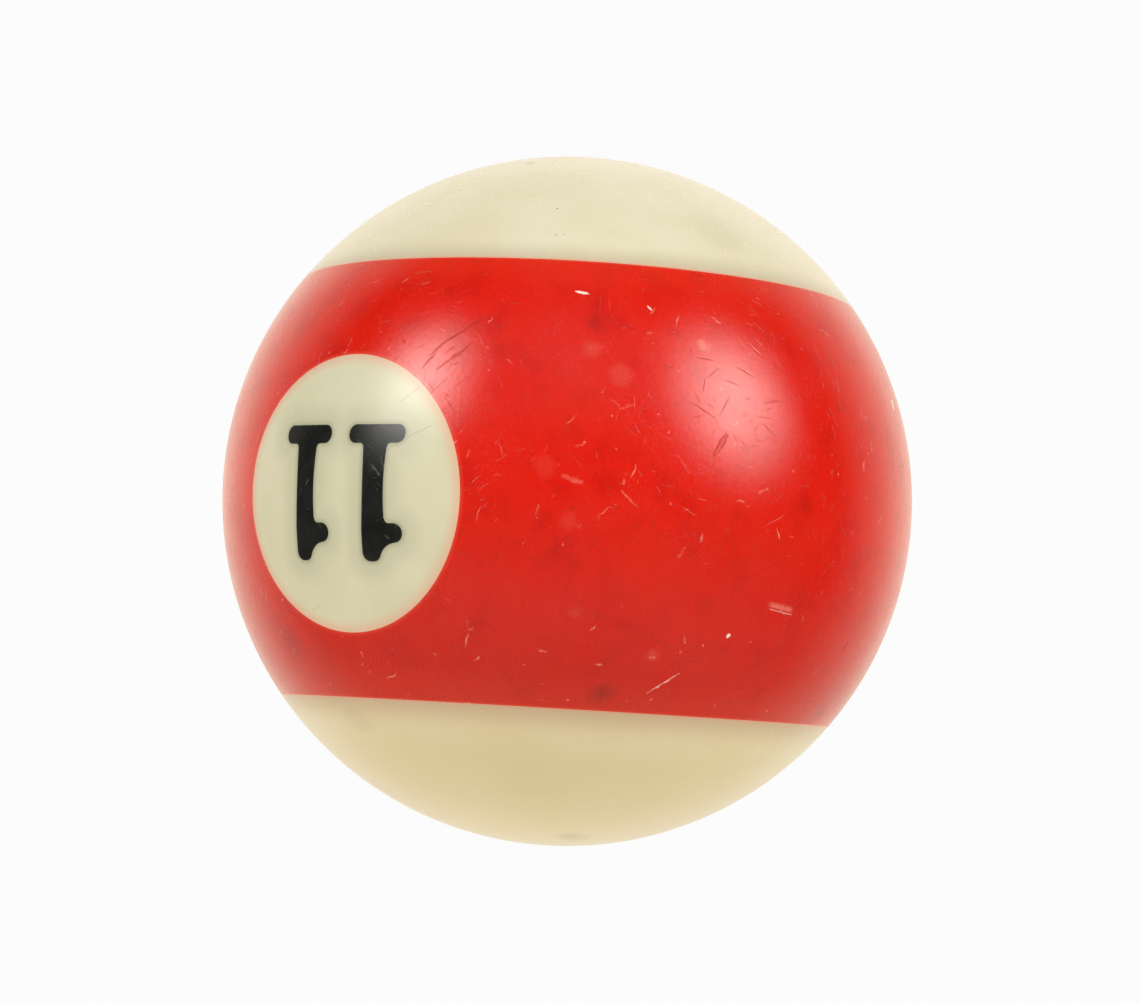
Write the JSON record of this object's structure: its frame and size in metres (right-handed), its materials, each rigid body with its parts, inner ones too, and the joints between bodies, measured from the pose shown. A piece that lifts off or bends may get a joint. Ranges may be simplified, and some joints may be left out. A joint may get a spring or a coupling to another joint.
{
  "type": "pool ball",
  "caption": "Striped pool ball: a cream resin sphere with a broad red band round its middle and a round cream number disc let into each side of the band.",
  "frame": {"origin": "centre of the ball", "axes": "+Z along the stripe's own axis, towards the feet of the inverted figures; -Y towards the front number disc; +X to the right when facing that disc"},
  "size_m": [0.0572, 0.0572, 0.0572],
  "materials": {
    "cream_resin": "cast phenolic resin, polished, aged cream and worn to a satin gloss",
    "red_resin": "cast phenolic resin, polished, warm red with fine scratches and small chips",
    "disc_resin": "cast phenolic resin, polished, aged cream",
    "black_resin": "cast phenolic resin, polished, near black"
  },
  "bodies": {
    "root": {"cream_body": "cream_resin", "red_band": "red_resin", "number_disc_front": "disc_resin", "number_disc_back": "disc_resin", "numeral_front_left": "black_resin", "numeral_front_right": "black_resin", "numeral_back_left": "black_resin", "numeral_back_right": "black_resin"}
  },
  "joints": []
}
